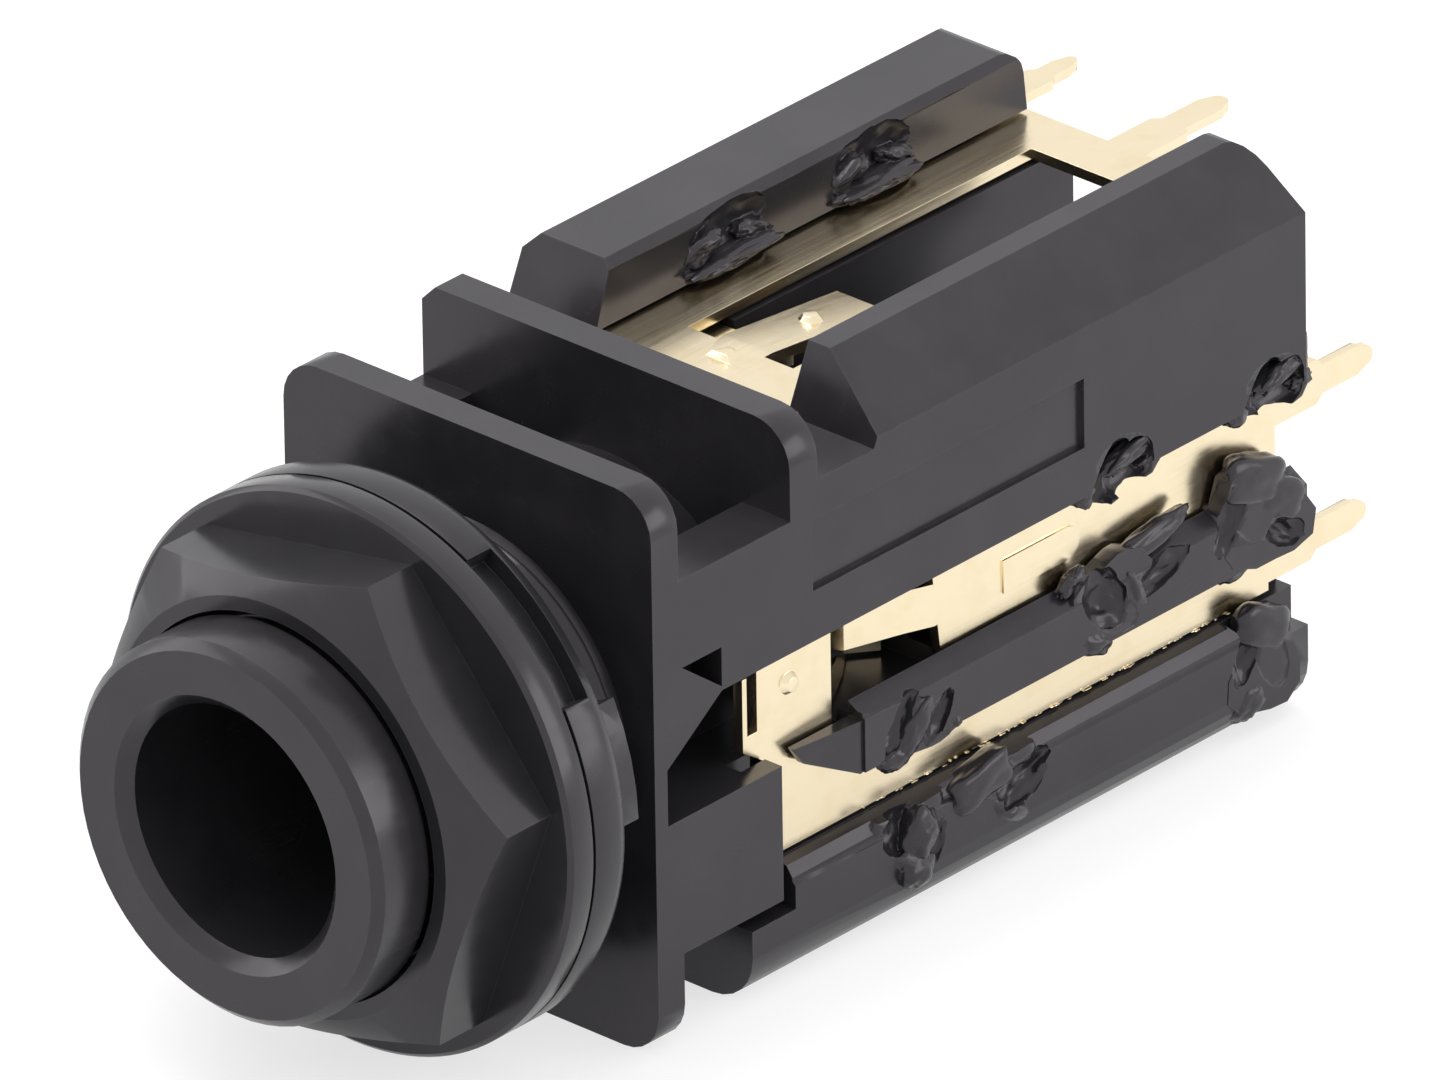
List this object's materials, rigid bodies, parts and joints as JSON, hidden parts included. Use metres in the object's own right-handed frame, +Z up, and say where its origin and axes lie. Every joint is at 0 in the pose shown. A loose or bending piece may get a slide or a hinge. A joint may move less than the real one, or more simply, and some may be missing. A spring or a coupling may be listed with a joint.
{
  "type": "audio jack socket",
  "caption": "Panel audio jack socket for a 6.35 mm plug: moulded open housing, hex nut, keyed washer, gold contact springs with solder pins.",
  "frame": {"origin": "on the plug axis, at the front face of the panel plate", "axes": "+Y along the plug axis towards the solder pins, so the plug goes in along +Y; +Z up; +X towards the closed side wall with the recess"},
  "size_m": [0.0148, 0.0365, 0.0152],
  "materials": {
    "housing_plastic": "satin moulded glass-filled plastic",
    "nut_plastic": "satin moulded plastic",
    "washer_plastic": "satin moulded plastic",
    "gold_plate": "bright gold flash on stamped spring bronze"
  },
  "bodies": {
    "socket": {"housing": "housing_plastic", "ring_spring": "gold_plate", "ring_switch": "gold_plate", "tip_spring": "gold_plate", "tip_switch": "gold_plate", "sleeve_spring": "gold_plate", "sleeve_switch": "gold_plate"},
    "ring": {"washer_ring": "washer_plastic"},
    "nut": {"hex_nut": "nut_plastic"}
  },
  "joints": [
    {"name": "ring_slide", "type": "slide", "parent": "socket", "child": "ring", "axis": [0, 1, 0], "range_m": [-0.004, 0.0015]},
    {"name": "nut_turn", "type": "hinge", "parent": "ring", "child": "nut", "pos_m": [0, -0.005, 0], "axis": [0, 1, 0], "range_deg": [-1440, 540]}
  ],
  "couplings": [
    {"joint": "nut_turn", "follows": "ring_slide", "rad_per_m": 6283.2}
  ]
}
